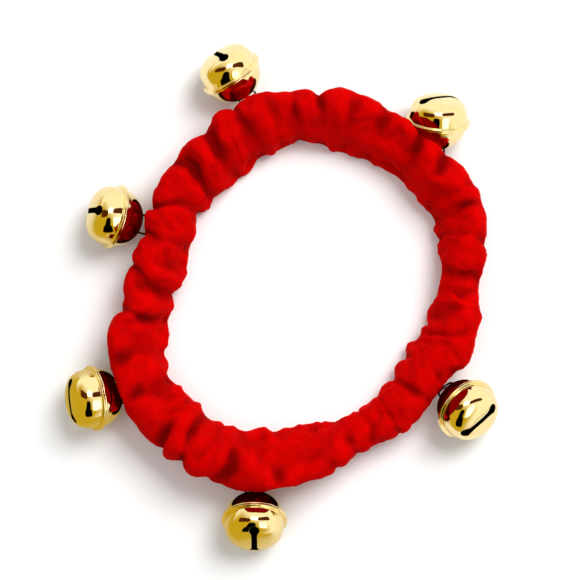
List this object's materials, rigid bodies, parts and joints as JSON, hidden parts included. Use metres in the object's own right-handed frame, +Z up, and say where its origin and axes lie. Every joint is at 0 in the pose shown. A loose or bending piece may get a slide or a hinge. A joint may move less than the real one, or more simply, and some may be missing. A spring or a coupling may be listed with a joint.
{
  "type": "sleigh bells",
  "caption": "Gathered red plush elastic band with gold slotted jingle bells sewn round its outer side, each with a loose pellet and a wire loop.",
  "frame": {"origin": "middle of the object's box, on the table it lies on", "axes": "+Z up from the table; +Y towards the two bells at the top of the ring; +X to the right as seen from above"},
  "size_m": [0.1066, 0.126, 0.0156],
  "materials": {
    "plush": "saturated red plush, short pile, gathered into soft folds",
    "elastic": "off-white flat elastic, hidden inside",
    "thread": "dark red sewing thread",
    "gold": "mirror-polished pale gold plate",
    "wire": "thin dark wire",
    "steel_ball": "plain steel ball"
  },
  "bodies": {
    "band": {"fabric_sleeve": "plush", "elastic": "elastic", "elastic_join_lashing": "thread", "sleeve_closing_stitch": "thread"},
    "thread_1": {"thread_1": "thread"},
    "bell_1": {"upper_shell_1": "gold", "slotted_shell_1": "gold", "bail_1": "wire"},
    "pellet_1": {"pellet_1": "steel_ball"},
    "thread_2": {"thread_2": "thread"},
    "bell_2": {"upper_shell_2": "gold", "slotted_shell_2": "gold", "bail_2": "wire"},
    "pellet_2": {"pellet_2": "steel_ball"},
    "thread_3": {"thread_3": "thread"},
    "bell_3": {"upper_shell_3": "gold", "slotted_shell_3": "gold", "bail_3": "wire"},
    "pellet_3": {"pellet_3": "steel_ball"},
    "thread_4": {"thread_4": "thread"},
    "bell_4": {"upper_shell_4": "gold", "slotted_shell_4": "gold", "bail_4": "wire"},
    "pellet_4": {"pellet_4": "steel_ball"},
    "thread_5": {"thread_5": "thread"},
    "bell_5": {"upper_shell_5": "gold", "slotted_shell_5": "gold", "bail_5": "wire"},
    "pellet_5": {"pellet_5": "steel_ball"},
    "thread_6": {"thread_6": "thread"},
    "bell_6": {"upper_shell_6": "gold", "slotted_shell_6": "gold", "bail_6": "wire"},
    "pellet_6": {"pellet_6": "steel_ball"}
  },
  "joints": [
    {"name": "thread_1_turn", "type": "hinge", "parent": "band", "child": "thread_1", "pos_m": [-0.00255, 0.04213, 0.0062], "axis": [0, 0, 1], "range_deg": [-12, 10]},
    {"name": "bell_1_swing", "type": "hinge", "parent": "thread_1", "child": "bell_1", "pos_m": [-0.00697, 0.04799, 0.00295], "axis": [0.7986, 0.6018, 0], "range_deg": [-60, 12]},
    {"name": "pellet_1_roll", "type": "hinge", "parent": "bell_1", "child": "pellet_1", "pos_m": [-0.01235, 0.05514, 0.00731], "axis": [0.7986, 0.6018, 0], "continuous": true},
    {"name": "thread_2_turn", "type": "hinge", "parent": "band", "child": "thread_2", "pos_m": [0.03806, 0.02908, 0.0062], "axis": [0, 0, 1], "range_deg": [-14, 0]},
    {"name": "bell_2_swing", "type": "hinge", "parent": "thread_2", "child": "bell_2", "pos_m": [0.03844, 0.03455, 0.00215], "axis": [0.9976, -0.0698, 0], "range_deg": [-60, 5]},
    {"name": "pellet_2_roll", "type": "hinge", "parent": "bell_2", "child": "pellet_2", "pos_m": [0.03904, 0.04314, 0.00713], "axis": [0.9976, -0.0698, 0], "continuous": true},
    {"name": "thread_3_turn", "type": "hinge", "parent": "band", "child": "thread_3", "pos_m": [-0.02744, 0.01637, 0.0062], "axis": [0, 0, 1], "range_deg": [-11, 11]},
    {"name": "bell_3_swing", "type": "hinge", "parent": "thread_3", "child": "bell_3", "pos_m": [-0.03222, 0.01739, 0.00338], "axis": [0.2079, 0.9781, 0], "range_deg": [-60, 7]},
    {"name": "pellet_3_roll", "type": "hinge", "parent": "bell_3", "child": "pellet_3", "pos_m": [-0.04111, 0.01928, 0.00743], "axis": [0.2079, 0.9781, 0], "continuous": true},
    {"name": "thread_4_turn", "type": "hinge", "parent": "band", "child": "thread_4", "pos_m": [-0.0325, -0.02334, 0.0062], "axis": [0, 0, 1], "range_deg": [-6, 14]},
    {"name": "bell_4_swing", "type": "hinge", "parent": "thread_4", "child": "bell_4", "pos_m": [-0.03692, -0.02412, 0.00338], "axis": [-0.1736, 0.9848, 0], "range_deg": [-60, 5]},
    {"name": "pellet_4_roll", "type": "hinge", "parent": "bell_4", "child": "pellet_4", "pos_m": [-0.04587, -0.0257, 0.00743], "axis": [-0.1736, 0.9848, 0], "continuous": true},
    {"name": "thread_5_turn", "type": "hinge", "parent": "band", "child": "thread_5", "pos_m": [0.0366, -0.01819, 0.0062], "axis": [0, 0, 1], "range_deg": [-6, 12]},
    {"name": "bell_5_swing", "type": "hinge", "parent": "thread_5", "child": "bell_5", "pos_m": [0.04054, -0.02264, 0.00101], "axis": [-0.749, -0.6626, 0], "range_deg": [-60, 5]},
    {"name": "pellet_5_roll", "type": "hinge", "parent": "bell_5", "child": "pellet_5", "pos_m": [0.04544, -0.02818, 0.00767], "axis": [-0.749, -0.6626, 0], "continuous": true},
    {"name": "thread_6_turn", "type": "hinge", "parent": "band", "child": "thread_6", "pos_m": [-0.00651, -0.04102, 0.0062], "axis": [0, 0, 1], "range_deg": [-8, 8]},
    {"name": "bell_6_swing", "type": "hinge", "parent": "thread_6", "child": "bell_6", "pos_m": [-0.00651, -0.04689, 0.00199], "axis": [-1, 0, 0], "range_deg": [-60, 5]},
    {"name": "pellet_6_roll", "type": "hinge", "parent": "bell_6", "child": "pellet_6", "pos_m": [-0.00651, -0.05542, 0.00712], "axis": [-1, 0, 0], "continuous": true}
  ]
}
